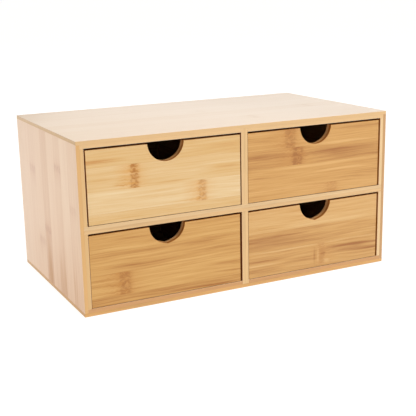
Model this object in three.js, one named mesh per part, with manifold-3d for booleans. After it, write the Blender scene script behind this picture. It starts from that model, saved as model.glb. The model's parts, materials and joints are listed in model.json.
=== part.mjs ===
// Desk organizer: a small laminated bamboo cabinet with four drawers, two by two.
//
// Millimetres, +Z up. The origin is at the middle of the underside, +X is to the right as the
// drawers are faced, and the drawers open towards -Y.

import * as THREE from 'three';
import { mergeVertices } from 'three/addons/utils/BufferGeometryUtils.js';
import Module from 'manifold-3d';

const wasm = await Module();
wasm.setup();

// Cabinet
const cabinetWidth = 330;
const cabinetDepth = 190;
const cabinetHeight = 160;
const boardThickness = 7;
const housingDepth = boardThickness / 2; // every rebate and housing goes half way through a board
const backThickness = 4;

// Drawers
const gapBeside = 1.25; // on each side of a drawer that stands in the middle of its bay
const gapBelow = 0.5;
const gapAbove = 1.8;
const gapBehind = 3;
const wallThickness = 6;
const wallHeight = 60; // the walls and the back stay lower than the front
const wallInset = 0.5; // the walls stand this far inside the ends of the front
const bottomThickness = 3;
const bottomRise = 4; // from the lower edges of the walls to the groove for the bottom
const grooveDepth = 3;

// Finger notch in the upper edge of each drawer front
const notchRadius = 18;
const notchCentreRise = 1; // the middle of the cutter ran this far above the edge
const notchPointReach = 5; // the lower notches run to a blunt point from this far each side
const notchSegments = 28; // in each half of the round

// Worked out from the above
const halfWidth = cabinetWidth / 2;
const frontY = -cabinetDepth / 2;
const rearY = cabinetDepth / 2;
const backFaceY = rearY - backThickness;
const bayWidth = (cabinetWidth - 3 * boardThickness) / 2;
const bayHeight = (cabinetHeight - 3 * boardThickness) / 2;
const bayCentreX = (bayWidth + boardThickness) / 2;
const lowerBayFloor = boardThickness;
const upperBayFloor = boardThickness + bayHeight + boardThickness;
const drawerWidth = bayWidth - 2 * gapBeside;
const frontHeight = bayHeight - gapBelow - gapAbove;
const drawerLength = backFaceY - frontY - gapBehind;

// The four drawers. Each one rests a little to one side of its bay, as loose drawers do, and
// the finger notches of the lower two end in a blunt point.
const drawers = [
  { name: 'upper_left', side: -1, floor: upperBayFloor, shift: 0, pointed: false, colour: 0xe6c08a },
  { name: 'upper_right', side: 1, floor: upperBayFloor, shift: -0.95, pointed: false, colour: 0xd9a868 },
  { name: 'lower_left', side: -1, floor: lowerBayFloor, shift: -0.95, pointed: true, colour: 0xd6a25e },
  { name: 'lower_right', side: 1, floor: lowerBayFloor, shift: -0.95, pointed: true, colour: 0xdcae70 },
];

function bambooMaterial(colour) {
  return new THREE.MeshStandardMaterial({ color: colour, roughness: 0.5, metalness: 0 });
}

// A closed box between two opposite corners
function boxBetween(low, high) {
  const size = new THREE.Vector3(...high).sub(new THREE.Vector3(...low));
  const centre = new THREE.Vector3(...high).add(new THREE.Vector3(...low)).divideScalar(2);
  return new THREE.BoxGeometry(size.x, size.y, size.z).translate(centre.x, centre.y, centre.z);
}

function toManifold(geometry) {
  const shell = geometry.clone();
  shell.deleteAttribute('normal');
  shell.deleteAttribute('uv');
  const merged = mergeVertices(shell);
  return new wasm.Manifold(new wasm.Mesh({
    numProp: 3,
    vertProperties: new Float32Array(merged.attributes.position.array),
    triVerts: new Uint32Array(merged.index.array),
  }));
}

function toGeometry(manifold) {
  const mesh = manifold.getMesh();
  const geometry = new THREE.BufferGeometry();
  geometry.setAttribute('position', new THREE.BufferAttribute(mesh.vertProperties, 3));
  geometry.setIndex(new THREE.BufferAttribute(mesh.triVerts, 1));
  geometry.computeVertexNormals();
  return geometry;
}

// What is left of a blank once the cutters have been through it
function cutFrom(blank, cutters) {
  const whole = toManifold(blank);
  const rest = cutters.reduce((solid, cutter) => solid.subtract(toManifold(cutter)), whole);
  return toGeometry(rest);
}

// A named board. Its geometry is drawn in its parent's frame and then moved to its own middle,
// so that the mesh stands at the middle of the board.
function board(name, material, blank, cutters = []) {
  const geometry = cutFrom(blank, cutters);
  geometry.computeBoundingBox();
  const centre = geometry.boundingBox.getCenter(new THREE.Vector3());
  geometry.translate(-centre.x, -centre.y, -centre.z);
  const mesh = new THREE.Mesh(geometry, material);
  mesh.name = name;
  mesh.position.copy(centre);
  return mesh;
}

// The top and the bottom: the outer half runs over the ends of the sides, the inner half stops
// inside them, and a housing takes the divider.
function capPanel(name, outerZ, inward) {
  const middleZ = outerZ + inward * housingDepth;
  const innerZ = outerZ + inward * boardThickness;
  const low = Math.min(outerZ, innerZ);
  const high = Math.max(outerZ, innerZ);
  const cutLow = Math.min(middleZ, innerZ);
  const cutHigh = Math.max(middleZ, innerZ);
  const halfBoard = boardThickness / 2;
  return board(name, bambooMaterial(0xf0dfc4), boxBetween([-halfWidth, frontY, low], [halfWidth, rearY, high]), [
    boxBetween([-halfWidth, frontY, cutLow], [housingDepth - halfWidth, rearY, cutHigh]),
    boxBetween([halfWidth - housingDepth, frontY, cutLow], [halfWidth, rearY, cutHigh]),
    boxBetween([-halfBoard, frontY, cutLow], [halfBoard, backFaceY, cutHigh]),
    boxBetween([-halfWidth, backFaceY, cutLow], [halfWidth, rearY, cutHigh]),
  ]);
}

// A side: the outer half reaches up between the outer halves of the top and the bottom, the
// inner half stops at their inner faces, and a housing takes the end of the shelf.
function sidePanel(name, outerX, inward) {
  const middleX = outerX + inward * housingDepth;
  const innerX = outerX + inward * boardThickness;
  const low = Math.min(outerX, innerX);
  const high = Math.max(outerX, innerX);
  const cutLow = Math.min(middleX, innerX);
  const cutHigh = Math.max(middleX, innerX);
  const upperZ = cabinetHeight - housingDepth;
  const shelfLow = upperBayFloor - boardThickness;
  return board(name, bambooMaterial(0xe6ccb0), boxBetween([low, frontY, housingDepth], [high, rearY, upperZ]), [
    boxBetween([cutLow, frontY, housingDepth], [cutHigh, rearY, boardThickness]),
    boxBetween([cutLow, frontY, cabinetHeight - boardThickness], [cutHigh, rearY, upperZ]),
    boxBetween([cutLow, frontY, shelfLow], [cutHigh, backFaceY, upperBayFloor]),
    boxBetween([cutLow, backFaceY, housingDepth], [cutHigh, rearY, upperZ]),
  ]);
}

// The shelf and the divider cross in a halved joint: the shelf is whole at the front, and the
// divider is whole at the back.
const crossingY = (frontY + backFaceY) / 2;

function shelfBoard() {
  const reach = halfWidth - housingDepth;
  const low = upperBayFloor - boardThickness;
  const halfBoard = boardThickness / 2;
  const blank = boxBetween([-reach, frontY, low], [reach, backFaceY, upperBayFloor]);
  const slot = boxBetween([-halfBoard, crossingY, low], [halfBoard, backFaceY, upperBayFloor]);
  return board('shelf', bambooMaterial(0xecd3a6), blank, [slot]);
}

function dividerBoard() {
  const halfBoard = boardThickness / 2;
  const upperZ = cabinetHeight - housingDepth;
  const low = upperBayFloor - boardThickness;
  const blank = boxBetween([-halfBoard, frontY, housingDepth], [halfBoard, backFaceY, upperZ]);
  const slot = boxBetween([-halfBoard, frontY, low], [halfBoard, crossingY, upperBayFloor]);
  return board('divider', bambooMaterial(0xe9c78f), blank, [slot]);
}

// The back lies in rebates round the rear edges of the cabinet, flush with them.
function backBoard() {
  const reach = halfWidth - housingDepth;
  const upperZ = cabinetHeight - housingDepth;
  const blank = boxBetween([-reach, backFaceY, housingDepth], [reach, rearY, upperZ]);
  return board('back_panel', bambooMaterial(0xe3c290), blank);
}

// Drawer front, seen from the front: a rectangle with a round bite out of its upper edge. A
// pointed bite leaves the round on each side of the middle and runs straight to its tip.
function frontBlank(pointed) {
  const halfDrawer = drawerWidth / 2;
  const centreZ = frontHeight + notchCentreRise;
  const dip = Math.asin(notchCentreRise / notchRadius);
  const lean = pointed ? Math.asin(notchPointReach / notchRadius) : 0;
  const straightDown = -Math.PI / 2;
  const outline = new THREE.Shape();
  outline.moveTo(-halfDrawer, 0);
  outline.lineTo(halfDrawer, 0);
  outline.lineTo(halfDrawer, frontHeight);
  outline.absarc(0, centreZ, notchRadius, -dip, straightDown + lean, true);
  if (pointed) {
    outline.lineTo(0, centreZ - notchRadius / Math.cos(lean));
  }
  outline.absarc(0, centreZ, notchRadius, straightDown - lean, -Math.PI + dip, true);
  outline.lineTo(-halfDrawer, frontHeight);
  const blank = new THREE.ExtrudeGeometry(outline, {
    depth: boardThickness,
    bevelEnabled: false,
    curveSegments: notchSegments,
  });
  return blank.rotateX(Math.PI / 2).translate(0, boardThickness, 0);
}

// One drawer, in a frame of its own: the origin is at the middle of the lower front edge of its
// front, and +Y runs back along the drawer.
function drawerGroup(drawer) {
  const material = bambooMaterial(drawer.colour);
  const wallMaterial = bambooMaterial(0xe8cda0);
  const halfDrawer = drawerWidth / 2;
  const outerX = halfDrawer - wallInset;
  const innerX = outerX - wallThickness;
  const grooveX = innerX + grooveDepth;
  const lipY = boardThickness / 2;
  const backY = drawerLength - wallThickness;
  const grooveFrontY = boardThickness - grooveDepth;
  const grooveBackY = backY + grooveDepth;
  const grooveTop = bottomRise + bottomThickness;

  const front = board(`${drawer.name}_drawer_front`, material, frontBlank(drawer.pointed), [
    boxBetween([-halfDrawer, lipY, 0], [-innerX, boardThickness, frontHeight]),
    boxBetween([innerX, lipY, 0], [halfDrawer, boardThickness, frontHeight]),
    boxBetween([-innerX, grooveFrontY, bottomRise], [innerX, boardThickness, grooveTop]),
  ]);

  const walls = [['left', -1], ['right', 1]].map(([hand, sign]) => {
    const from = Math.min(sign * innerX, sign * outerX);
    const to = Math.max(sign * innerX, sign * outerX);
    const cutFromX = Math.min(sign * innerX, sign * grooveX);
    const cutToX = Math.max(sign * innerX, sign * grooveX);
    const blank = boxBetween([from, lipY, 0], [to, drawerLength, wallHeight]);
    const groove = boxBetween([cutFromX, lipY, bottomRise], [cutToX, drawerLength, grooveTop]);
    const rebate = boxBetween([cutFromX, backY, 0], [cutToX, drawerLength, wallHeight]);
    return board(`${drawer.name}_drawer_${hand}_side`, wallMaterial, blank, [groove, rebate]);
  });

  const backBlank = boxBetween([-grooveX, backY, 0], [grooveX, drawerLength, wallHeight]);
  const backGroove = boxBetween([-grooveX, backY, bottomRise], [grooveX, grooveBackY, grooveTop]);
  const back = board(`${drawer.name}_drawer_back`, wallMaterial, backBlank, [backGroove]);

  const bottomBlank = boxBetween([-grooveX, grooveFrontY, bottomRise], [grooveX, grooveBackY, grooveTop]);
  const bottom = board(`${drawer.name}_drawer_bottom`, wallMaterial, bottomBlank);

  const group = new THREE.Group();
  group.add(front, ...walls, back, bottom);
  group.position.set(drawer.side * bayCentreX + drawer.shift, frontY, drawer.floor + gapBelow);
  return group;
}

const organizer = new THREE.Group();
organizer.add(
  capPanel('top_panel', cabinetHeight, -1),
  capPanel('bottom_panel', 0, 1),
  sidePanel('left_side_panel', -halfWidth, 1),
  sidePanel('right_side_panel', halfWidth, -1),
  shelfBoard(),
  dividerBoard(),
  backBoard(),
  ...drawers.map(drawerGroup),
);

export default organizer;
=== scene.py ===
import json
import math
import random
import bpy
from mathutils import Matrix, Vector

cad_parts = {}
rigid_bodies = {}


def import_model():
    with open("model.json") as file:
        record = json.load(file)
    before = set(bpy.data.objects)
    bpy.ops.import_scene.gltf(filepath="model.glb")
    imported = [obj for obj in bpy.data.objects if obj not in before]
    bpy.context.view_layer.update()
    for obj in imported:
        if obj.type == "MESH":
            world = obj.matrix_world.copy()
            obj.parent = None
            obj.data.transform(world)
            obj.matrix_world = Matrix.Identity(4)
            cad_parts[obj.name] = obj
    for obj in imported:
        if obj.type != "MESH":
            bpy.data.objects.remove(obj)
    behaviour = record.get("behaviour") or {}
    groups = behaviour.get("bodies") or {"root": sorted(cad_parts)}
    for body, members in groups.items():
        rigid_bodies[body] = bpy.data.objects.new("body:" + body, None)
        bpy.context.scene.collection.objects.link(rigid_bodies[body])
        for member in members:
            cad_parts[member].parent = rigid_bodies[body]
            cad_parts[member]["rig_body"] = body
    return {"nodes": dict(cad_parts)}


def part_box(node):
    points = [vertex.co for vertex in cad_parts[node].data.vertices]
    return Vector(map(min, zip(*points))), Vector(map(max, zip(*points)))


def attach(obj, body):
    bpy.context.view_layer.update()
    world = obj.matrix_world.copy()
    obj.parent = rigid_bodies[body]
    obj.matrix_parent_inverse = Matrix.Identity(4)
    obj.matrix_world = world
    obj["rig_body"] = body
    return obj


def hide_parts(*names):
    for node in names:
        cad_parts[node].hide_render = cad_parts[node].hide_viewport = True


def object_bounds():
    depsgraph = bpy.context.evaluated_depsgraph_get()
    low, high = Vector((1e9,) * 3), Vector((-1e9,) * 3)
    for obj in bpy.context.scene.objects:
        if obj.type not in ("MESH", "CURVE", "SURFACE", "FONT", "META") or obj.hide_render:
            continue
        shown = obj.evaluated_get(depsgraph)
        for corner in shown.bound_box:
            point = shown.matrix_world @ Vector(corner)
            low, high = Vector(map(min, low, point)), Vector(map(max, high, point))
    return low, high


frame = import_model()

from types import SimpleNamespace

import bmesh
import bpy
from mathutils import Matrix, Vector
from mathutils.bvhtree import BVHTree

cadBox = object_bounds()
mm = 0.001
scene = bpy.context.scene
scene.view_settings.view_transform = "Standard"  # keeps the pale bamboo as clean as its hex colours
nodeColumns, nodeStepX, nodeStepY = 12, 180, -260  # how the nodes are laid out in the editor


# A hex colour as the linear colour that a socket takes.
def linear(hexColour):
    channels = [int(hexColour[i:i + 2], 16) / 255 for i in (1, 3, 5)]
    return tuple(c / 12.92 if c <= 0.04045 else ((c + 0.055) / 1.055) ** 2.4 for c in channels) + (1.0,)


# Adds one node, fills or links its sockets, and hands back one output (or the node, if output is None).
def addNode(tree, kind, sockets=None, output=0, stops=None, **settings):
    node = tree.nodes.new(kind)
    row, column = divmod(len(tree.nodes), nodeColumns)
    node.location = (nodeStepX * column, nodeStepY * row)
    for key, value in settings.items():
        setattr(node, key, value)
    for key, value in (sockets or {}).items():
        for entry in value if isinstance(value, list) else [value]:
            if isinstance(entry, bpy.types.NodeSocket):
                tree.links.new(entry, node.inputs[key])
            else:
                node.inputs[key].default_value = entry
    if stops:
        ramp = node.color_ramp
        ramp.interpolation = stops["blend"]
        while len(ramp.elements) < len(stops["places"]):
            ramp.elements.new(1.0)
        for element, (place, colour) in zip(ramp.elements, stops["places"]):
            element.position = place
            element.color = colour
    return node if output is None else node.outputs[output]


cameraSet = {
    "turn": -26.586,  # degrees round the cabinet, from straight in front
    "tilt": 14.224,   # degrees above the desk
    "roll": -1.168,   # degrees
    "distance": 0.92155,  # metres from the middle of the cabinet
    "aimRight": 0.007517,  # metres that it is shifted sideways, and then upwards, without turning
    "aimUp": -0.020179,
    "lens": 75.94,  # millimetres
    "sensor": 36,
}


def makeCamera(settings):
    turn, tilt, roll = (math.radians(settings[key]) for key in ("turn", "tilt", "roll"))
    back = Vector((math.sin(turn) * math.cos(tilt), -math.cos(turn) * math.cos(tilt), math.sin(tilt)))
    levelRight = Vector((math.cos(turn), math.sin(turn), 0))
    levelUp = back.cross(levelRight)
    right = levelRight * math.cos(roll) + levelUp * math.sin(roll)
    up = levelUp * math.cos(roll) - levelRight * math.sin(roll)
    centre = (cadBox[0] + cadBox[1]) / 2
    spot = centre + right * settings["aimRight"] + up * settings["aimUp"] + back * settings["distance"]
    data = bpy.data.cameras.new("camera")
    data.lens = settings["lens"]
    data.sensor_width = settings["sensor"]
    camera = bpy.data.objects.new("camera", data)
    scene.collection.objects.link(camera)
    turned = Matrix((right, up, back)).transposed().to_4x4()
    camera.matrix_world = Matrix.Translation(spot) @ turned
    scene.camera = camera


makeCamera(cameraSet)

studio = {
    # the surround's strength at each height, 0 at the horizon and 1 overhead
    "surround": ((0.0, 1.0), (0.05, 0.85), (0.2, 0.5), (0.5, 0.4), (1.0, 0.45)),
    "floor": "#8f8e8c",
    "floorRoughness": 0.9,
    "floorSpecular": 0.1,
    "floorGlow": "#fcfbfa",
    "floorGlowStrength": 0.9,
    "floorReach": 30.0,  # metres
    "floorDrop": 0.2,  # millimetres under the cabinet
    "softboxes": (
        # name, place in metres, width in metres, watts
        ("keySoftbox", (1.0, -1.5, 1.9), 1.0, 36.0),
        ("topSoftbox", (-0.3, 0.5, 1.8), 1.4, 8.0),
        ("leftSoftbox", (-2.2, 0.9, 0.9), 1.2, 7.6),
        ("rimSoftbox", (1.1, 2.0, 1.15), 1.7, 5.8),
    ),
}


def makeSurround(settings):
    world = bpy.data.worlds.new("studio")
    scene.world = world
    world.use_nodes = True
    tree = world.node_tree
    tree.nodes.clear()
    direction = addNode(tree, "ShaderNodeTexCoord", output="Generated")
    direction = addNode(tree, "ShaderNodeSeparateXYZ", {0: direction}, "Z")
    brightness = addNode(tree, "ShaderNodeValToRGB", {"Fac": direction}, "Color", {
        "blend": "LINEAR",
        "places": [(place, (value,) * 3 + (1.0,)) for place, value in settings["surround"]]})
    air = addNode(tree, "ShaderNodeBackground", {"Color": brightness, "Strength": 1.0})
    addNode(tree, "ShaderNodeOutputWorld", {"Surface": air}, None)


# Opal acrylic, lit from below: an even white ground on which the cabinet's shadow is only faint.
def makeFloor(settings):
    material = bpy.data.materials.new("opal acrylic light table")
    material.use_nodes = True
    tree = material.node_tree
    tree.nodes.clear()
    shader = addNode(tree, "ShaderNodeBsdfPrincipled", {
        "Base Color": linear(settings["floor"]), "Roughness": settings["floorRoughness"],
        "Specular IOR Level": settings["floorSpecular"], "Emission Color": linear(settings["floorGlow"]),
        "Emission Strength": settings["floorGlowStrength"]})
    addNode(tree, "ShaderNodeOutputMaterial", {"Surface": shader}, None)

    reach = settings["floorReach"]
    mesh = bpy.data.meshes.new("studioFloor")
    mesh.from_pydata([(-reach, -reach, 0), (reach, -reach, 0), (reach, reach, 0), (-reach, reach, 0)],
                     [], [(0, 1, 2, 3)])
    mesh.materials.append(material)
    floor = bpy.data.objects.new("studioFloor", mesh)
    scene.collection.objects.link(floor)
    floor.location.z = cadBox[0].z - settings["floorDrop"] * mm


def makeSoftboxes(settings):
    aim = (cadBox[0] + cadBox[1]) / 2
    for name, place, width, watts in settings["softboxes"]:
        data = bpy.data.lights.new(name, "AREA")
        data.shape = "SQUARE"
        data.size = width
        data.energy = watts
        light = bpy.data.objects.new(name, data)
        scene.collection.objects.link(light)
        light.location = place
        light.rotation_mode = "QUATERNION"
        light.rotation_quaternion = (aim - Vector(place)).to_track_quat("-Z", "Y")


makeSurround(studio)
makeFloor(studio)
makeSoftboxes(studio)
print("camera, floor and lights are in place")


# Laminated bamboo: two layers of flat-sawn strips, sanded and given a thin satin lacquer. The eye gets
# long straight fibres, a change of tone from strip to strip, brown mottled nodes that stop dead at a
# seam, and on the edges the two layers side by side. Sizes are in millimetres. A tone of 0 is a board's
# pale colour, 0.5 its body colour and 1 its deep one.
bamboo = {
    "ior": 1.5,
    "coat": 0.45,
    "coatRoughness": 0.3,
    "roughness": 0.46,
    "fibreRoughness": 0.05,  # from one fine fibre to the next
    "endRoughness": 0.14,    # more on end grain
    "fibres": {
        # length, width, and how far they move the tone; the finest are drawn twice as coarse as real
        # vessels are, so that they show
        "fine": (38.0, 0.8, 0.12),
        "medium": (65.0, 1.8, 0.15),
        "broad": (200.0, 6.0, 0.10),
    },
    "fibreRange": (0.28, 0.72),  # the part of the noise that is stretched to -1 and 1
    "darkLines": 0.06,       # tone added along the darkest medium fibres
    "darkLineFrom": 0.35,
    "bundleRange": (-0.5, 0.6),  # from between the bundles of fibres to full on them
    "wander": 2.5,           # how far a fibre strays sideways
    "wanderLength": 90,
    "wanderWidth": 25,
    "swirl": 5.0,            # how far it bends round a node
    "swirlScale": 0.22,      # per millimetre, so a bend is about 4.5 mm across
    "strayAlong": 900.0,     # sets each strip's fibres apart from the next strip's
    "ragged": 2.5,           # how far a node's two sides stray
    "raggedScale": 0.7,      # per millimetre
    "nodeBand": (
        # across a node, as a share of its span: place, strength of the soft band and of the dark core
        (0.10, 0.0, 0.0), (0.25, 0.24, 0.0), (0.37, 0.46, 0.0), (0.42, 0.68, 0.12), (0.44, 0.80, 0.75),
        (0.50, 0.84, 0.95), (0.55, 0.78, 0.75), (0.58, 0.52, 0.12), (0.62, 0.26, 0.0),
        (0.70, 0.12, 0.0), (0.82, 0.0, 0.0),
    ),
    "coreFade": 3.0,         # a weak node loses its core sooner than its soft band
    "bandLeast": 0.5,        # the soft band's strength between the bundles
    "patch": (4.8, 2.2),     # length and width of a dark patch of vessels in a core
    "patchRange": (0.36, 0.62),
    "patchLeast": 0.2,       # the core's strength between the patches
    "edgeContrast": 0.5,     # the fibres' share of the shade on an edge
    "endShade": 0.08,        # end grain is darker by this share
    "dotRim": 0.42,          # where a dot of cut vessels ends, from its middle; they are 1 mm apart
    "dotMiddle": 0.18,       # and where it is darkest
    "dotShade": 0.4,
    # painted highlight on the arris, partly rubbed wear: how pale, by how squarely it faces through the board
    "arris": ((0.1, 0.0), (0.35, 0.75), (0.85, 0.75), (0.98, 0.0)),
    "glueShade": 0.22,       # how far a glue line goes to the deep colour
    "relief": 0.012,         # height of the fine fibres
    "mediumRelief": 0.6,     # the others against that, up or down
    "glueRelief": -3.0,
    "coreRelief": -1.5,
    "facingRange": (0.5, 0.75),  # how squarely a surface turns to an end or an edge to count as one
}


# Where a point lies on its board, in millimetres from the board's low corner, and how it faces.
def findPlace(tree, board):
    low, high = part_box(board["cadNode"])
    at = SimpleNamespace(lie=["xyz".index(letter) for letter in board["lie"]])
    at.length, at.width, at.thickness = ((high[axis] - low[axis]) / mm for axis in at.lie)
    at.place = addNode(tree, "ShaderNodeMapping", {
        "Vector": addNode(tree, "ShaderNodeTexCoord", output="Object"),
        "Location": tuple(-c / mm for c in low), "Scale": (1 / mm, 1 / mm, 1 / mm)})
    split = addNode(tree, "ShaderNodeSeparateXYZ", {0: at.place}, None)
    at.along, at.across, at.through = (split.outputs[axis] for axis in at.lie)
    at.layer = addNode(tree, "ShaderNodeMath", {0: at.through, 1: at.thickness / 2},
                       operation="GREATER_THAN")
    facing = addNode(tree, "ShaderNodeTexCoord", output="Normal")
    facing = addNode(tree, "ShaderNodeVectorMath", {0: facing}, operation="ABSOLUTE")
    facing = addNode(tree, "ShaderNodeSeparateXYZ", {0: facing}, None)
    facingFrom, facingTo = bamboo["facingRange"]
    at.endOn, at.edgeOn = (addNode(tree, "ShaderNodeMapRange", {
        "Value": facing.outputs[axis], "From Min": facingFrom, "From Max": facingTo},
        interpolation_type="SMOOTHSTEP") for axis in at.lie[:2])
    at.sideOn = addNode(tree, "ShaderNodeMath", {0: at.endOn, 1: at.edgeOn}, operation="MAXIMUM")
    at.notSide = addNode(tree, "ShaderNodeMath", {0: 1.0, 1: at.sideOn}, operation="SUBTRACT")
    at.faceOn = facing.outputs[at.lie[2]]
    return at


# Each strip's tone, where its node is and how strong; the alpha is 0 in the glue line between two.
def layStrips(tree, board, at):
    places = []
    edge = 0.0
    for stripWidth, tone, nodePlace, nodeStrength in board["strips"]:
        colour = (tone, nodePlace / at.length, nodeStrength)
        if edge:
            places.append(((edge - board["glueLine"] / 2) / at.width, places[-1][1][:3] + (0.0,)))
        places.append(((edge + (board["glueLine"] / 2 if edge else 0)) / at.width, colour + (1.0,)))
        edge += stripWidth
    share = addNode(tree, "ShaderNodeMath", {0: at.across, 1: 1 / at.width}, operation="MULTIPLY")
    ramp = addNode(tree, "ShaderNodeValToRGB", {"Fac": share}, None, {"blend": "CONSTANT", "places": places})
    split = addNode(tree, "ShaderNodeSeparateColor", {0: ramp.outputs["Color"]}, None)
    strip = SimpleNamespace(notGlue=ramp.outputs["Alpha"])
    strip.tone, strip.nodeShare, strip.nodeStrength = split.outputs
    strip.chance = addNode(tree, "ShaderNodeTexWhiteNoise", {"Vector": ramp.outputs["Color"]}, "Value")
    return strip


# A node is a band across one strip, soft on one side and sharper on the other, with a dark core.
def growNodes(tree, board, at, strip):
    nodeAt = addNode(tree, "ShaderNodeMath", {0: strip.nodeShare, 1: at.length}, operation="MULTIPLY")
    fromNode = addNode(tree, "ShaderNodeMath", {0: at.along, 1: nodeAt}, operation="SUBTRACT")
    ragged = addNode(tree, "ShaderNodeCombineXYZ", {0: strip.chance, 1: at.across, 2: at.through})
    ragged = addNode(tree, "ShaderNodeTexNoise", {
        "Vector": ragged, "Scale": bamboo["raggedScale"], "Detail": 2.0})
    ragged = addNode(tree, "ShaderNodeMapRange", {
        "Value": ragged, "To Min": -bamboo["ragged"], "To Max": bamboo["ragged"]})
    fromNode = addNode(tree, "ShaderNodeMath", {0: fromNode, 1: ragged}, operation="ADD")
    band = addNode(tree, "ShaderNodeMath", {0: fromNode, 1: board["growth"] / board["nodeSpan"], 2: 0.5},
                   operation="MULTIPLY_ADD")
    # red is the soft band and green its dark core
    band = addNode(tree, "ShaderNodeValToRGB", {"Fac": band}, "Color", {
        "blend": "LINEAR",
        "places": [(spot, (soft, core, 0.0, 1.0)) for spot, soft, core in bamboo["nodeBand"]]})
    band = addNode(tree, "ShaderNodeSeparateColor", {0: band}, None)
    softBand = addNode(tree, "ShaderNodeMath", {0: band.outputs[0], 1: strip.nodeStrength},
                       operation="MULTIPLY")
    darkCore = addNode(tree, "ShaderNodeMath", {0: strip.nodeStrength, 1: bamboo["coreFade"]},
                       operation="POWER")
    darkCore = addNode(tree, "ShaderNodeMath", {0: band.outputs[1], 1: darkCore}, operation="MULTIPLY")
    return softBand, darkCore


# Fibres wander a little, and swirl round a node. Each kind is noise from -1 to 1.
def drawFibres(tree, board, at, strip, softBand):
    wave = tuple(1 / bamboo["wanderLength"] if axis == at.lie[0] else 1 / bamboo["wanderWidth"]
                 for axis in range(3))
    drift = addNode(tree, "ShaderNodeVectorMath", {0: at.place, 1: wave}, operation="MULTIPLY")
    drift = addNode(tree, "ShaderNodeTexNoise", {"Vector": drift, "Scale": 1.0, "Detail": 1.0})
    drift = addNode(tree, "ShaderNodeMapRange", {
        "Value": drift, "To Min": -bamboo["wander"], "To Max": bamboo["wander"]})
    swirl = addNode(tree, "ShaderNodeTexNoise", {
        "Vector": at.place, "Scale": bamboo["swirlScale"], "Detail": 1.0})
    swirl = addNode(tree, "ShaderNodeMapRange", {
        "Value": swirl, "To Min": -bamboo["swirl"], "To Max": bamboo["swirl"]})
    swirl = addNode(tree, "ShaderNodeMath", {0: swirl, 1: softBand}, operation="MULTIPLY")
    bent = addNode(tree, "ShaderNodeMath", {0: at.across, 1: drift}, operation="ADD")
    bent = addNode(tree, "ShaderNodeMath", {0: bent, 1: swirl}, operation="ADD")
    shifted = addNode(tree, "ShaderNodeMath", {0: strip.chance, 1: bamboo["strayAlong"], 2: at.along},
                      operation="MULTIPLY_ADD")
    run = addNode(tree, "ShaderNodeCombineXYZ", {0: shifted, 1: bent, 2: at.through})

    fibre = SimpleNamespace(bent=bent, run=run, grain={})
    noiseFrom, noiseTo = bamboo["fibreRange"]
    for key, (fibreLength, fibreWidth, _) in bamboo["fibres"].items():
        stretched = addNode(tree, "ShaderNodeVectorMath", {
            0: run, 1: (1 / fibreLength, 1 / fibreWidth, 1 / fibreWidth)}, operation="MULTIPLY")
        noise = addNode(tree, "ShaderNodeTexNoise", {
            "Vector": stretched, "Scale": 1.0, "Detail": 3.0, "Roughness": 0.6})
        fibre.grain[key] = addNode(tree, "ShaderNodeMapRange", {
            "Value": noise, "From Min": noiseFrom, "From Max": noiseTo, "To Min": -1.0, "To Max": 1.0})
    bundleFrom, bundleTo = bamboo["bundleRange"]
    fibre.bundles = addNode(tree, "ShaderNodeMapRange", {
        "Value": fibre.grain["medium"], "From Min": bundleFrom, "From Max": bundleTo},
        interpolation_type="SMOOTHSTEP")

    # the tone that they add, on faces and edges alike
    darkLines = addNode(tree, "ShaderNodeMapRange", {
        "Value": fibre.grain["medium"], "From Min": bamboo["darkLineFrom"], "From Max": 1.0},
        interpolation_type="SMOOTHSTEP")
    figure = addNode(tree, "ShaderNodeMath", {0: darkLines, 1: bamboo["darkLines"] * board["figure"]},
                     operation="MULTIPLY")
    for key, (_, _, depth) in bamboo["fibres"].items():
        figure = addNode(tree, "ShaderNodeMath", {0: fibre.grain[key], 1: depth * board["figure"], 2: figure},
                         operation="MULTIPLY_ADD")
    fibre.figure = figure
    return fibre


# A face's colour, from the tones of its strip, its fibres and its broad streaks, with a painted shade that
# darkens the faces inside the cabinet.
def faceColour(tree, board, at, strip, fibre):
    tone = addNode(tree, "ShaderNodeMath", {0: strip.tone, 1: fibre.figure}, operation="ADD")
    # painted shade: a face inside the cabinet is darkened by its layer's tone
    innerShadeTone = addNode(tree, "ShaderNodeMapRange", {
        "Value": at.layer, "To Min": board["paintedInnerShade"][0], "To Max": board["paintedInnerShade"][1]})
    tone = addNode(tree, "ShaderNodeMath", {0: tone, 1: innerShadeTone}, operation="ADD")
    flatPlace = addNode(tree, "ShaderNodeCombineXYZ", {0: at.along, 1: fibre.bent})
    for streakAlong, streakAcross, halfLength, halfWidth, depth, fibrous in board["streaks"]:
        offset = addNode(tree, "ShaderNodeVectorMath", {0: flatPlace, 1: (streakAlong, streakAcross, 0)},
                         operation="SUBTRACT")
        offset = addNode(tree, "ShaderNodeVectorMath", {0: offset, 1: (1 / halfLength, 1 / halfWidth, 0)},
                         operation="MULTIPLY")
        reach = addNode(tree, "ShaderNodeVectorMath", {0: offset}, "Value", operation="LENGTH")
        inside = addNode(tree, "ShaderNodeMapRange", {
            "Value": reach, "From Min": 1.0, "From Max": 0.0, "To Max": depth},
            interpolation_type="SMOOTHSTEP")
        density = addNode(tree, "ShaderNodeMix", {"Factor": fibrous, 2: 1.0, 3: fibre.bundles})
        tone = addNode(tree, "ShaderNodeMath", {0: inside, 1: density, 2: tone}, operation="MULTIPLY_ADD")
    return addNode(tree, "ShaderNodeValToRGB", {"Fac": tone}, "Color", {
        "blend": "LINEAR",
        "places": [(0.0, linear(board["pale"])), (0.5, linear(board["body"])), (1.0, linear(board["deep"]))]})


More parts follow.
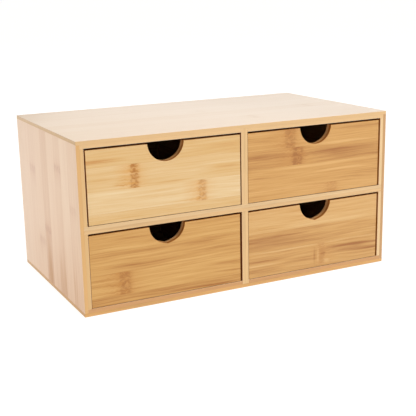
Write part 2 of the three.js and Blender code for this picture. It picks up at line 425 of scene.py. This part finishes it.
# The two layers side by side, where an edge shows them.
def edgeColour(tree, board, at, fibre):
    first, second = board["layers"]
    colour = addNode(tree, "ShaderNodeMix", {"Factor": at.layer, 6: linear(first), 7: linear(second)}, 2,
                     data_type="RGBA")
    shade = addNode(tree, "ShaderNodeMath", {0: fibre.figure, 1: -bamboo["edgeContrast"], 2: 1.0},
                    operation="MULTIPLY_ADD")
    shade = addNode(tree, "ShaderNodeMath", {0: at.endOn, 1: -bamboo["endShade"], 2: shade},
                    operation="MULTIPLY_ADD")
    return addNode(tree, "ShaderNodeVectorMath", {0: colour, "Scale": shade}, operation="SCALE")


# How much of a node's soft band and of its patchy dark core a face shows.
def nodeShares(tree, at, fibre, softBand, darkCore):
    patchLength, patchWidth = bamboo["patch"]
    patches = addNode(tree, "ShaderNodeVectorMath", {
        0: fibre.run, 1: (1 / patchLength, 1 / patchWidth, 1 / patchWidth)}, operation="MULTIPLY")
    patches = addNode(tree, "ShaderNodeTexNoise", {"Vector": patches, "Scale": 1.0, "Detail": 1.0})
    patchFrom, patchTo = bamboo["patchRange"]
    patches = addNode(tree, "ShaderNodeMapRange", {
        "Value": patches, "From Min": patchFrom, "From Max": patchTo, "To Min": bamboo["patchLeast"],
        "To Max": 1.0}, interpolation_type="SMOOTHSTEP")
    between = addNode(tree, "ShaderNodeMapRange", {
        "Value": fibre.bundles, "To Min": bamboo["bandLeast"], "To Max": 1.0})
    shares = []
    for band, texture in ((softBand, between), (darkCore, patches)):
        share = addNode(tree, "ShaderNodeMath", {0: band, 1: texture}, operation="MULTIPLY")
        shares.append(addNode(tree, "ShaderNodeMath", {0: share, 1: at.notSide}, operation="MULTIPLY"))
    return shares


# The brown dots of cut vessels, on end grain only.
def vesselDots(tree, at):
    dots = addNode(tree, "ShaderNodeTexVoronoi", {"Vector": at.place, "Scale": 1.0}, "Distance")
    dots = addNode(tree, "ShaderNodeMapRange", {
        "Value": dots, "From Min": bamboo["dotRim"], "From Max": bamboo["dotMiddle"],
        "To Max": bamboo["dotShade"]}, interpolation_type="SMOOTHSTEP")
    return addNode(tree, "ShaderNodeMath", {0: dots, 1: at.endOn}, operation="MULTIPLY")


# Glue lines: between strips on the faces, and between the two layers on the edges.
def glueLines(tree, board, at, strip):
    onFace = addNode(tree, "ShaderNodeMath", {0: 1.0, 1: strip.notGlue}, operation="SUBTRACT")
    onFace = addNode(tree, "ShaderNodeMath", {0: onFace, 1: at.notSide}, operation="MULTIPLY")
    onEdge = addNode(tree, "ShaderNodeMath", {
        0: at.through, 1: at.thickness / 2, 2: board["glueLine"] / 2}, operation="COMPARE")
    onEdge = addNode(tree, "ShaderNodeMath", {0: onEdge, 1: at.sideOn}, operation="MULTIPLY")
    return addNode(tree, "ShaderNodeMath", {0: onFace, 1: onEdge}, operation="ADD")


def bambooMaterial(pieceName, board):
    material = bpy.data.materials.new("laminated bamboo " + pieceName)
    material.use_nodes = True
    tree = material.node_tree
    tree.nodes.clear()
    at = findPlace(tree, board)
    strip = layStrips(tree, board, at)
    softBand, darkCore = growNodes(tree, board, at, strip)
    fibre = drawFibres(tree, board, at, strip, softBand)
    haloShare, coreShare = nodeShares(tree, at, fibre, softBand, darkCore)
    dots = vesselDots(tree, at)
    # the arris's painted highlight, partly rubbed wear
    arris = addNode(tree, "ShaderNodeValToRGB", {"Fac": at.faceOn}, "Color", {
        "blend": "EASE", "places": [(spot, (value,) * 3 + (1.0,)) for spot, value in bamboo["arris"]]})
    glue = glueLines(tree, board, at, strip)
    glueShare = addNode(tree, "ShaderNodeMath", {0: glue, 1: bamboo["glueShade"]}, operation="MULTIPLY")

    # each colour lies over the ones before it; the arris is painted paler than the face, a painted highlight
    # that also stands for rubbed wear
    colour = faceColour(tree, board, at, strip, fibre)
    for share, over in ((at.sideOn, edgeColour(tree, board, at, fibre)), (haloShare, linear(board["halo"])),
                        (coreShare, linear(board["node"])), (dots, linear(board["deep"])),
                        (arris, linear(board["pale"])), (glueShare, linear(board["deep"]))):
        colour = addNode(tree, "ShaderNodeMix", {"Factor": share, 6: colour, 7: over}, 2, data_type="RGBA")

    gloss = addNode(tree, "ShaderNodeMath", {
        0: fibre.grain["fine"], 1: bamboo["fibreRoughness"], 2: bamboo["roughness"]},
        operation="MULTIPLY_ADD")
    gloss = addNode(tree, "ShaderNodeMath", {0: at.endOn, 1: bamboo["endRoughness"], 2: gloss},
                    operation="MULTIPLY_ADD")
    height = fibre.grain["fine"]
    for source, key in ((fibre.grain["medium"], "mediumRelief"), (glue, "glueRelief"),
                        (coreShare, "coreRelief")):
        height = addNode(tree, "ShaderNodeMath", {0: source, 1: bamboo[key], 2: height},
                         operation="MULTIPLY_ADD")
    relief = addNode(tree, "ShaderNodeBump", {
        "Height": height, "Strength": 1.0, "Distance": bamboo["relief"] * mm})
    shader = addNode(tree, "ShaderNodeBsdfPrincipled", {
        "Base Color": colour, "Roughness": gloss, "Normal": relief, "IOR": bamboo["ior"],
        "Coat Weight": bamboo["coat"], "Coat Roughness": bamboo["coatRoughness"]})
    addNode(tree, "ShaderNodeOutputMaterial", {"Surface": shader}, None)
    return material


# Where an edge is free it is sanded round; where it lies flush with the next board it is only a
# hairline. The flush width goes in as a share of the free one, so that one bevel serves the whole board.
easing = {
    "free": 0.28,  # millimetres
    "flush": 0.1,
    "rounds": 3,  # flats across an eased edge
    "arrisFrom": 30,  # degrees between two faces before their edge is eased
    "flatWithin": 0.5,  # degrees between two faces that count as one
    "weldWithin": 0.001,  # millimetres between two corners that count as one
    "probe": 0.2,  # millimetres beyond an edge, where a flush neighbour would be
    "pastHit": 0.001,  # millimetres to step on from a crossing
}

solids = {}
for nodeName, node in frame["nodes"].items():
    vertices = [vertex.co.copy() for vertex in node.data.vertices]
    solids[nodeName] = BVHTree.FromPolygons(vertices, [tuple(face.vertices) for face in node.data.polygons])


# A ray from a point inside a closed solid crosses its skin an odd number of times.
def isInside(solid, point):
    ray = Vector((0.36, 0.48, 0.8))  # slanted, so that it runs along no face
    crossings = 0
    hit = solid.ray_cast(point, ray)[0]
    while hit is not None:
        crossings += 1
        hit = solid.ray_cast(hit + ray * easing["pastHit"] * mm, ray)[0]
    return crossings % 2 == 1


def easeEdges(piece, neighbours):
    form = bmesh.new()
    form.from_mesh(piece.data)
    bmesh.ops.remove_doubles(form, verts=form.verts, dist=easing["weldWithin"] * mm)
    bmesh.ops.dissolve_limit(form, angle_limit=math.radians(easing["flatWithin"]), verts=form.verts,
                             edges=form.edges)
    bmesh.ops.recalc_face_normals(form, faces=form.faces)
    weight = form.edges.layers.float.new("bevel_weight_edge")
    probe = easing["probe"] * mm
    arrisFrom = math.radians(easing["arrisFrom"])
    for edge in form.edges:
        edge.smooth = True
        if len(edge.link_faces) != 2 or edge.calc_face_angle_signed(0) < arrisFrom:
            edge.smooth = edge.calc_face_angle(0) < arrisFrom
            continue
        middle = (edge.verts[0].co + edge.verts[1].co) / 2
        first, second = (face.normal * probe for face in edge.link_faces)
        flush = any(isInside(solid, middle + a - b) for a, b in ((first, second), (second, first))
                    for solid in neighbours)
        edge[weight] = easing["flush"] / easing["free"] if flush else 1.0
    for face in form.faces:
        face.smooth = True
    form.to_mesh(piece.data)
    form.free()
    bevel = piece.modifiers.new("eased edges", "BEVEL")
    bevel.limit_method = "WEIGHT"
    bevel.width = easing["free"] * mm
    bevel.segments = easing["rounds"]
    bevel.harden_normals = True


# Where nothing sets a board's strips, a seeded draw lays them, even over each of these ranges.
laying = {
    "firstWidth": (6, 18),  # millimetres
    "width": (19, 22),
    "nodePlace": (0.1, 0.9),  # share of the board's length
    "nodeStrength": (0.3, 0.8),
}


def laidStrips(width, seed, tone=0.45, spread=0.12, length=150.0, nodes=0.5):
    draw = random.Random(seed)
    left = width - draw.uniform(*laying["firstWidth"])
    strips = [(width - left, tone, 0, 0)]
    while left > 0:
        stripWidth = min(draw.uniform(*laying["width"]), left)
        hasNode = draw.random() < nodes
        strips.append((stripWidth, tone + draw.uniform(-spread, spread),
                       draw.uniform(*laying["nodePlace"]) * length,
                       draw.uniform(*laying["nodeStrength"]) if hasNode else 0.0))
        left -= stripWidth
    return strips


# Only the nodes that move with a piece count as its neighbours.
def finishPiece(piece, material, board, body):
    scene.collection.objects.link(piece)
    neighbours = [solids[other] for other, node in frame["nodes"].items()
                  if other != board["cadNode"] and node["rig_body"] == body]
    easeEdges(piece, neighbours)
    piece.data.materials.clear()  # a copied or cut mesh brings slots of its own
    piece.data.materials.append(material)
    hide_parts(board["cadNode"])
    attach(piece, body)


def makeBoard(pieceName, board, body):
    mesh = frame["nodes"][board["cadNode"]].data.copy()
    mesh.name = pieceName
    finishPiece(bpy.data.objects.new(pieceName, mesh), bambooMaterial(pieceName, board), board, body)


# What a board's dictionary says, in millimetres:
#   cadNode, slot: the node it stands for, and its finish's slot in the model, which nothing here reads
#   lie: which axes run along, across and through it
#   pale, body, deep: the colours of tones 0, 0.5 and 1
#   halo, node: the colours of a node's soft band and of its dark core
#   layers: the two layers' colours on an edge
#   paintedInnerShade: tone added to each layer on a face, a painted shade that darkens the faces inside the
#       cabinet
#   figure: how strong the fibres are, 1 being full
#   glueLine: width of the line between two strips
#   nodeSpan: length of a node with its soft band
#   growth: 1 if a node's soft side comes before it along the board, and -1 if after it
#   strips: each one's width and tone, how far along it its node is, and how strong that is
#   streaks: each one's middle along and across, half its length and half its width, the tone that it
#       adds, and how much of it follows the fibres
common = {
    "figure": 1.0, "glueLine": 0.25, "growth": 1, "nodeSpan": 46, "paintedInnerShade": (0, 0),
    "layers": ("#d5a873", "#d5a873"), "streaks": (),
    "pale": "#e6c496", "body": "#d3a871", "deep": "#a9672e", "halo": "#cb8e48", "node": "#a25c22",
}

topBoard = common | {
    "cadNode": "top_panel", "slot": "top_bamboo", "lie": "xyz", "figure": 0.4,
    # the lower face is darker: painted shade inside the cabinet
    "layers": ("#dab27b", "#d7af79"), "paintedInnerShade": (0.7, 0),
    # pale, greyed colours: partly painted sheen, the lacquer's haze under the lights laid into the top's own
    # colour
    "pale": "#ecdac6", "body": "#e2c8ab", "deep": "#a8743c", "halo": "#dabd9a", "node": "#cfae8a",
    "strips": laidStrips(190, 11, tone=0.4, spread=0.06, length=330, nodes=0.2),
}
makeBoard("topBoard", topBoard, "cabinet")

bottomBoard = common | {
    "cadNode": "bottom_panel", "slot": "bottom_bamboo", "lie": "xyz",
    # the upper face is darker: painted shade inside the cabinet
    "layers": ("#d29d58", "#c9935a"), "paintedInnerShade": (0, 0.4),
    "strips": laidStrips(190, 12, length=330),
}
makeBoard("bottomBoard", bottomBoard, "cabinet")

leftSideBoard = common | {
    "cadNode": "left_side_panel", "slot": "side_bamboo", "lie": "zyx", "figure": 0.6,
    # the inner face is darker: painted shade inside the cabinet
    "layers": ("#d5a565", "#d5ab70"), "paintedInnerShade": (0, 0.75),
    "pale": "#eccba9", "body": "#deb58f", "deep": "#bb7c2e", "halo": "#c8906a", "node": "#ad7454",
    "strips": ((7, 0.3, 0, 0), (19, 0.26, 92, 0.4), (22, 0.1, 0, 0), (19, 0.34, 123, 0.6),
               (22, 0.22, 0, 0), (20, 0.5, 55, 0.65), (22, 0.3, 39, 0.5), (21, 0.34, 109, 0.55),
               (20, 0.27, 0, 0), (18, 0.3, 0, 0)),
    # the first two streaks are broad and smooth, with no fibres: they darken the side towards its bottom
    "streaks": ((5, 40, 95, 95, 0.32, 0.0), (0, 95, 60, 150, 0.13, 0.0), (10, 99, 65, 10, 0.25, 0.2)),
}
makeBoard("leftSideBoard", leftSideBoard, "cabinet")

rightSideBoard = leftSideBoard | {
    # the inner face is darker: painted shade inside the cabinet
    "cadNode": "right_side_panel", "layers": ("#e3c08c", "#c1925d"), "paintedInnerShade": (0.75, 0),
    "strips": laidStrips(190, 14, tone=0.3, length=153),
    "streaks": ((60, 120, 95, 12, 0.2, 0.3),),
}
makeBoard("rightSideBoard", rightSideBoard, "cabinet")

shelfBoard = common | {
    # a darker deep colour and both faces darker: painted shade between the drawers
    "cadNode": "shelf", "slot": "shelf_bamboo", "lie": "xyz", "deep": "#8a4a1c",
    "layers": ("#d6ad76", "#d7b381"), "paintedInnerShade": (0.6, 0.6),
    "strips": laidStrips(186, 15, length=323),
}
makeBoard("shelfBoard", shelfBoard, "cabinet")

dividerBoard = common | {
    # a darker deep colour and both faces darker: painted shade between the drawers
    "cadNode": "divider", "slot": "divider_bamboo", "lie": "zyx", "deep": "#8a4a1c",
    "layers": ("#dbb37c", "#dbb37a"), "paintedInnerShade": (0.6, 0.9),
    "strips": laidStrips(186, 16, length=153),
}
makeBoard("dividerBoard", dividerBoard, "cabinet")

backBoard = common | {
    "cadNode": "back_panel", "slot": "back_bamboo", "lie": "xzy", "figure": 0.8,
    "strips": laidStrips(153, 17, tone=0.38, length=323),
}
makeBoard("backBoard", backBoard, "cabinet")
print("cabinet boards are made")


cutting = {
    "roundSides": 112,  # of the finger notch's cutter
    "roundLength": 30,  # millimetres, far more than a front's thickness
    "clear": 1,         # how far the square cutters stand clear of the board
}


# One tree makes every front: a board, less the finger notch, the end rebates and the bottom groove.
def makeFrontTree():
    tree = bpy.data.node_groups.new("drawer front", "GeometryNodeTree")
    tree.is_modifier = True
    tree.interface.new_socket("Geometry", in_out="OUTPUT", socket_type="NodeSocketGeometry")
    for name, kind in (("Board", "Vector"), ("Notch radius", "Float"), ("Notch centre", "Vector"),
                       ("Point reach", "Float"), ("Rebate cutter", "Vector"), ("Rebate place", "Vector"),
                       ("Groove cutter", "Vector"), ("Groove place", "Vector"), ("Finish", "Material")):
        tree.interface.new_socket(name, in_out="INPUT", socket_type="NodeSocket" + kind)
    given = addNode(tree, "NodeGroupInput", output=None).outputs

    # the board is centred sideways, with its outer face and its lower edge at 0
    blank = addNode(tree, "GeometryNodeMeshCube", {"Size": given["Board"]})
    middle = addNode(tree, "ShaderNodeVectorMath", {0: given["Board"], 1: (0, 0.5, 0.5)},
                     operation="MULTIPLY")
    blank = addNode(tree, "GeometryNodeTransform", {"Geometry": blank, "Translation": middle})

    # the notch's cutter is round; its lowest part runs straight to a blunt point if a reach is given:
    # z = (reach |x| - radius^2) / sqrt(radius^2 - reach^2), the two tangents from there
    cutter = addNode(tree, "GeometryNodeMeshCylinder", {
        "Vertices": cutting["roundSides"], "Radius": given["Notch radius"],
        "Depth": cutting["roundLength"] * mm})
    cutter = addNode(tree, "GeometryNodeTransform", {
        "Geometry": cutter, "Rotation": (math.radians(90), 0, 0)})
    spot = addNode(tree, "GeometryNodeInputPosition")
    spot = addNode(tree, "ShaderNodeSeparateXYZ", {0: spot}, None).outputs
    sideways = addNode(tree, "ShaderNodeMath", {0: spot["X"]}, operation="ABSOLUTE")
    near = addNode(tree, "ShaderNodeMath", {0: sideways, 1: given["Point reach"]}, operation="LESS_THAN")
    below = addNode(tree, "ShaderNodeMath", {0: spot["Z"], 1: 0.0}, operation="LESS_THAN")
    chosen = addNode(tree, "ShaderNodeMath", {0: near, 1: below}, operation="MULTIPLY")
    radiusSquared = addNode(tree, "ShaderNodeMath", {0: given["Notch radius"], 1: 2.0}, operation="POWER")
    reachSquared = addNode(tree, "ShaderNodeMath", {0: given["Point reach"], 1: 2.0}, operation="POWER")
    rise = addNode(tree, "ShaderNodeMath", {0: given["Point reach"], 1: sideways}, operation="MULTIPLY")
    rise = addNode(tree, "ShaderNodeMath", {0: rise, 1: radiusSquared}, operation="SUBTRACT")
    drop = addNode(tree, "ShaderNodeMath", {0: radiusSquared, 1: reachSquared}, operation="SUBTRACT")
    drop = addNode(tree, "ShaderNodeMath", {0: drop}, operation="SQRT")
    rise = addNode(tree, "ShaderNodeMath", {0: rise, 1: drop}, operation="DIVIDE")
    onTangent = addNode(tree, "ShaderNodeCombineXYZ", {0: spot["X"], 1: spot["Y"], 2: rise})
    cutter = addNode(tree, "GeometryNodeSetPosition", {
        "Geometry": cutter, "Selection": chosen, "Position": onTangent})
    cuts = [addNode(tree, "GeometryNodeTransform", {
        "Geometry": cutter, "Translation": given["Notch centre"]})]

    rebate = addNode(tree, "GeometryNodeMeshCube", {"Size": given["Rebate cutter"]})
    for side in (-1, 1):
        place = addNode(tree, "ShaderNodeVectorMath", {0: given["Rebate place"], 1: (side, 1, 1)},
                        operation="MULTIPLY")
        cuts.append(addNode(tree, "GeometryNodeTransform", {"Geometry": rebate, "Translation": place}))
    groove = addNode(tree, "GeometryNodeMeshCube", {"Size": given["Groove cutter"]})
    cuts.append(addNode(tree, "GeometryNodeTransform", {
        "Geometry": groove, "Translation": given["Groove place"]}))

    cut = addNode(tree, "GeometryNodeMeshBoolean", {"Mesh 1": blank, "Mesh 2": cuts},
                  operation="DIFFERENCE", solver="EXACT")
    real = addNode(tree, "GeometryNodeRealizeInstances", {"Geometry": cut})
    finished = addNode(tree, "GeometryNodeSetMaterial", {"Geometry": real, "Material": given["Finish"]})
    addNode(tree, "NodeGroupOutput", {"Geometry": finished}, None)
    return tree


frontTree = makeFrontTree()

frontShape = {
    # millimetres
    "rebateWidth": 6.5, "rebateDepth": 3.5,  # behind each end, for the walls
    "grooveRise": 4, "grooveHeight": 3, "grooveDepth": 3,  # for the drawer's bottom
    "notchRadius": 18, "notchRise": 1,  # the round cutter's middle is this far above the upper edge
    "pointReach": 0,  # half the width of the blunt point
}


def frontInputs(shape, size):
    width, thickness, height = size
    clear = cutting["clear"]
    rebateWidth, rebateDepth = shape["rebateWidth"], shape["rebateDepth"]
    grooveHeight, grooveDepth = shape["grooveHeight"], shape["grooveDepth"]
    return {
        "Board": (width, thickness, height),
        "Notch radius": shape["notchRadius"],
        "Notch centre": (0, thickness / 2, height + shape["notchRise"]),
        "Point reach": shape["pointReach"],
        "Rebate cutter": (rebateWidth + clear, rebateDepth + clear, height + 2 * clear),
        "Rebate place": ((width - rebateWidth + clear) / 2, thickness + (clear - rebateDepth) / 2,
                         height / 2),
        "Groove cutter": (width - 2 * rebateWidth, grooveDepth + clear, grooveHeight),
        "Groove place": (0, thickness + (clear - grooveDepth) / 2, shape["grooveRise"] + grooveHeight / 2),
    }


def makeFront(pieceName, board, shape, body):
    material = bambooMaterial(pieceName, board)
    holder = bpy.data.objects.new(pieceName + "Blank", bpy.data.meshes.new(pieceName + "Blank"))
    scene.collection.objects.link(holder)
    modifier = holder.modifiers.new("drawer front", "NODES")
    modifier.node_group = frontTree
    low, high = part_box(board["cadNode"])
    inputs = {"Finish": material}
    for name, value in frontInputs(shape, [v / mm for v in high - low]).items():
        inputs[name] = tuple(v * mm for v in value) if isinstance(value, tuple) else value * mm
    for item in frontTree.interface.items_tree:
        if item.name in inputs:
            modifier[item.identifier] = inputs[item.name]
    evaluated = holder.evaluated_get(bpy.context.evaluated_depsgraph_get())
    mesh = bpy.data.meshes.new_from_object(evaluated)
    mesh.name = pieceName
    bpy.data.objects.remove(holder)
    mesh.transform(Matrix.Translation(((low.x + high.x) / 2, low.y, low.z)))
    finishPiece(bpy.data.objects.new(pieceName, mesh), material, board, body)


frontCommon = common | {"lie": "xzy", "layers": ("#bd742c", "#e4ae72")}

upperLeftFront = frontCommon | {
    "cadNode": "upper_left_drawer_front", "slot": "upper_left_front_bamboo",
    "pale": "#e4c99c", "body": "#d3a867", "deep": "#bd7c2e", "halo": "#cf8c26", "node": "#a8680e",
    "figure": 0.7, "nodeSpan": 54,
    "strips": ((9, 0.42, 0, 0), (20, 0.24, 112, 0.82), (22, 0.37, 45, 1.0), (16.2, 0.44, 0, 0)),
    "streaks": ((3, 56.5, 45, 3.5, 0.4, 0.3), (140, 58, 50, 8, 0.16, 0.3), (140, 38.5, 38, 3, 0.3, 0.3),
                (85, 31.5, 25, 1.4, 0.3, 0.2), (20, 27, 40, 2, -0.25, 0.3), (15, 40, 30, 5, 0.16, 0.3),
                (33, 33, 12, 0.9, 0.45, 0.1), (35, 36.7, 10, 0.9, 0.4, 0.1), (36, 40, 10, 1.8, 0.3, 0.3)),
}
makeFront("upperLeftFront", upperLeftFront, frontShape, "upper_left_drawer")

upperRightFront = frontCommon | {
    "cadNode": "upper_right_drawer_front", "slot": "upper_right_front_bamboo",
    "pale": "#dbaa66", "body": "#c8934b", "deep": "#a0611a", "halo": "#b67526", "node": "#985a0e",
    "figure": 1.05, "nodeSpan": 84,
    "strips": ((10, 0.36, 96, 0.6), (21.5, 0.46, 0, 0), (17.5, 0.6, 55.5, 0.95), (18.2, 0.44, 47, 0.84)),
    "streaks": ((110, 41.5, 70, 6.5, 0.36, 0.12), (20, 42, 50, 4.5, 0.3, 0.3),
                (100, 49.5, 75, 2.5, -0.42, 0.0), (90, 29.5, 110, 2.2, -0.36, 0.0),
                (15, 60, 50, 4.5, 0.36, 0.5), (130, 64, 50, 2.4, 0.42, 0.3), (118, 35.5, 55, 4.0, 0.2, 0.1),
                (110, 22.5, 60, 2.0, -0.3, 0.0), (5, 3, 45, 5, 0.25, 0.2), (54, 40, 9, 8, 0.4, 0.3),
                (145, 17, 50, 3.5, 0.25, 0.5), (20, 22, 50, 4, 0.18, 0.5)),
}
makeFront("upperRightFront", upperRightFront, frontShape, "upper_right_drawer")

lowerShape = frontShape | {"pointReach": 5}

lowerLeftFront = frontCommon | {
    "cadNode": "lower_left_drawer_front", "slot": "lower_left_front_bamboo",
    "pale": "#d9aa61", "body": "#c69146", "deep": "#a2620c", "halo": "#b87820", "node": "#a06010",
    "figure": 1.3, "nodeSpan": 80,
    "strips": ((7.5, 0.6, 0, 0), (22, 0.38, 33, 0.9), (20, 0.47, 0, 0), (17.7, 0.46, 0, 0)),
    "streaks": ((70, 47.3, 110, 2.6, 0.28, 0.2), (30, 52.5, 60, 2, -0.25, 0.0),
                (125, 52.5, 50, 2, -0.3, 0.0), (35, 61.5, 40, 1.6, 0.25, 0.4),
                (135, 36.5, 48, 2.6, 0.3, 0.4), (25, 35, 45, 2.5, 0.2, 0.4), (110, 31.2, 60, 1.6, -0.3, 0.0),
                (148, 21.3, 45, 2.4, 0.5, 0.3), (150, 13.8, 32, 1.7, 0.5, 0.3),
                (65, 5.3, 48, 1.7, 0.4, 0.3), (110, 2, 58, 1.7, 0.4, 0.3)),
}
makeFront("lowerLeftFront", lowerLeftFront, lowerShape, "lower_left_drawer")

lowerRightFront = frontCommon | {
    "cadNode": "lower_right_drawer_front", "slot": "lower_right_front_bamboo", "growth": -1,
    "pale": "#e0b87c", "body": "#cb9852", "deep": "#a0621c", "halo": "#bf8036", "node": "#9a5e18",
    "figure": 1.0, "nodeSpan": 50,
    "strips": ((2, 0.5, 0, 0), (22.5, 0.52, 84, 0.6), (19, 0.55, 0, 0), (23.7, 0.36, 0, 0)),
    "streaks": ((95, 46, 90, 2.2, -0.3, 0.0), (10, 35, 85, 10, 0.3, 0.15), (45, 38.5, 38, 1.6, 0.2, 0.4),
                (60, 30.3, 40, 1.7, 0.35, 0.4), (70, 24.2, 110, 1.7, -0.3, 0.0),
                (15, 15.8, 45, 2.2, 0.45, 0.4), (12, 11.5, 38, 1.3, -0.3, 0.0), (10, 6, 50, 5, 0.25, 0.2),
                (128, 17.8, 60, 2.7, 0.42, 0.35), (135, 12.3, 60, 2.1, 0.46, 0.35),
                (120, 16, 60, 8, 0.2, 0.2), (86, 12.8, 5, 2.6, 0.6, 0.0), (90, 5.5, 6, 4, -0.3, 0.0),
                (80.3, 12, 1.6, 12, -0.35, 0.0), (76, 12, 2, 12, 0.3, 0.3)),
}
makeFront("lowerRightFront", lowerRightFront, lowerShape, "lower_right_drawer")
print("drawer fronts are made")


drawerWalls = common | {
    "slot": "drawer_wall_bamboo", "pale": "#f0d5a6", "body": "#dfb47c", "layers": ("#cfa26a", "#cfa26a"),
}
drawerBottoms = common | {
    "slot": "drawer_bottom_bamboo", "lie": "xyz", "pale": "#efd6aa", "body": "#dcb480", "figure": 0.8,
}
drawerBox = {
    "walls": (
        # name, name of its CAD node, how it lies
        ("LeftWall", "left_side", "yzx"),
        ("RightWall", "right_side", "yzx"),
        ("BackWall", "back", "xzy"),
    ),
    "wallWidth": 60,  # millimetres, as the strips are laid
    "wallLength": 170,
    "bottomWidth": 177,
    "bottomLength": 145,
    "firstSeed": 100,
    "seedStep": 10,  # from one drawer to the next
    "bottomSeed": 7,
}


def makeDrawerBox(drawer, body, seed):
    for count, (part, cadPart, lie) in enumerate(drawerBox["walls"]):
        makeBoard(drawer + part, drawerWalls | {
            "cadNode": body + "_" + cadPart, "lie": lie,
            "strips": laidStrips(drawerBox["wallWidth"], seed + count, length=drawerBox["wallLength"]),
        }, body)
    makeBoard(drawer + "Bottom", drawerBottoms | {
        "cadNode": body + "_bottom",
        "strips": laidStrips(drawerBox["bottomWidth"], seed + drawerBox["bottomSeed"],
                             length=drawerBox["bottomLength"]),
    }, body)


drawers = (("upperLeft", "upper_left_drawer"), ("upperRight", "upper_right_drawer"),
           ("lowerLeft", "lower_left_drawer"), ("lowerRight", "lower_right_drawer"))
for count, (drawer, body) in enumerate(drawers):
    makeDrawerBox(drawer, body, drawerBox["firstSeed"] + drawerBox["seedStep"] * count)
print("drawer boxes are made")
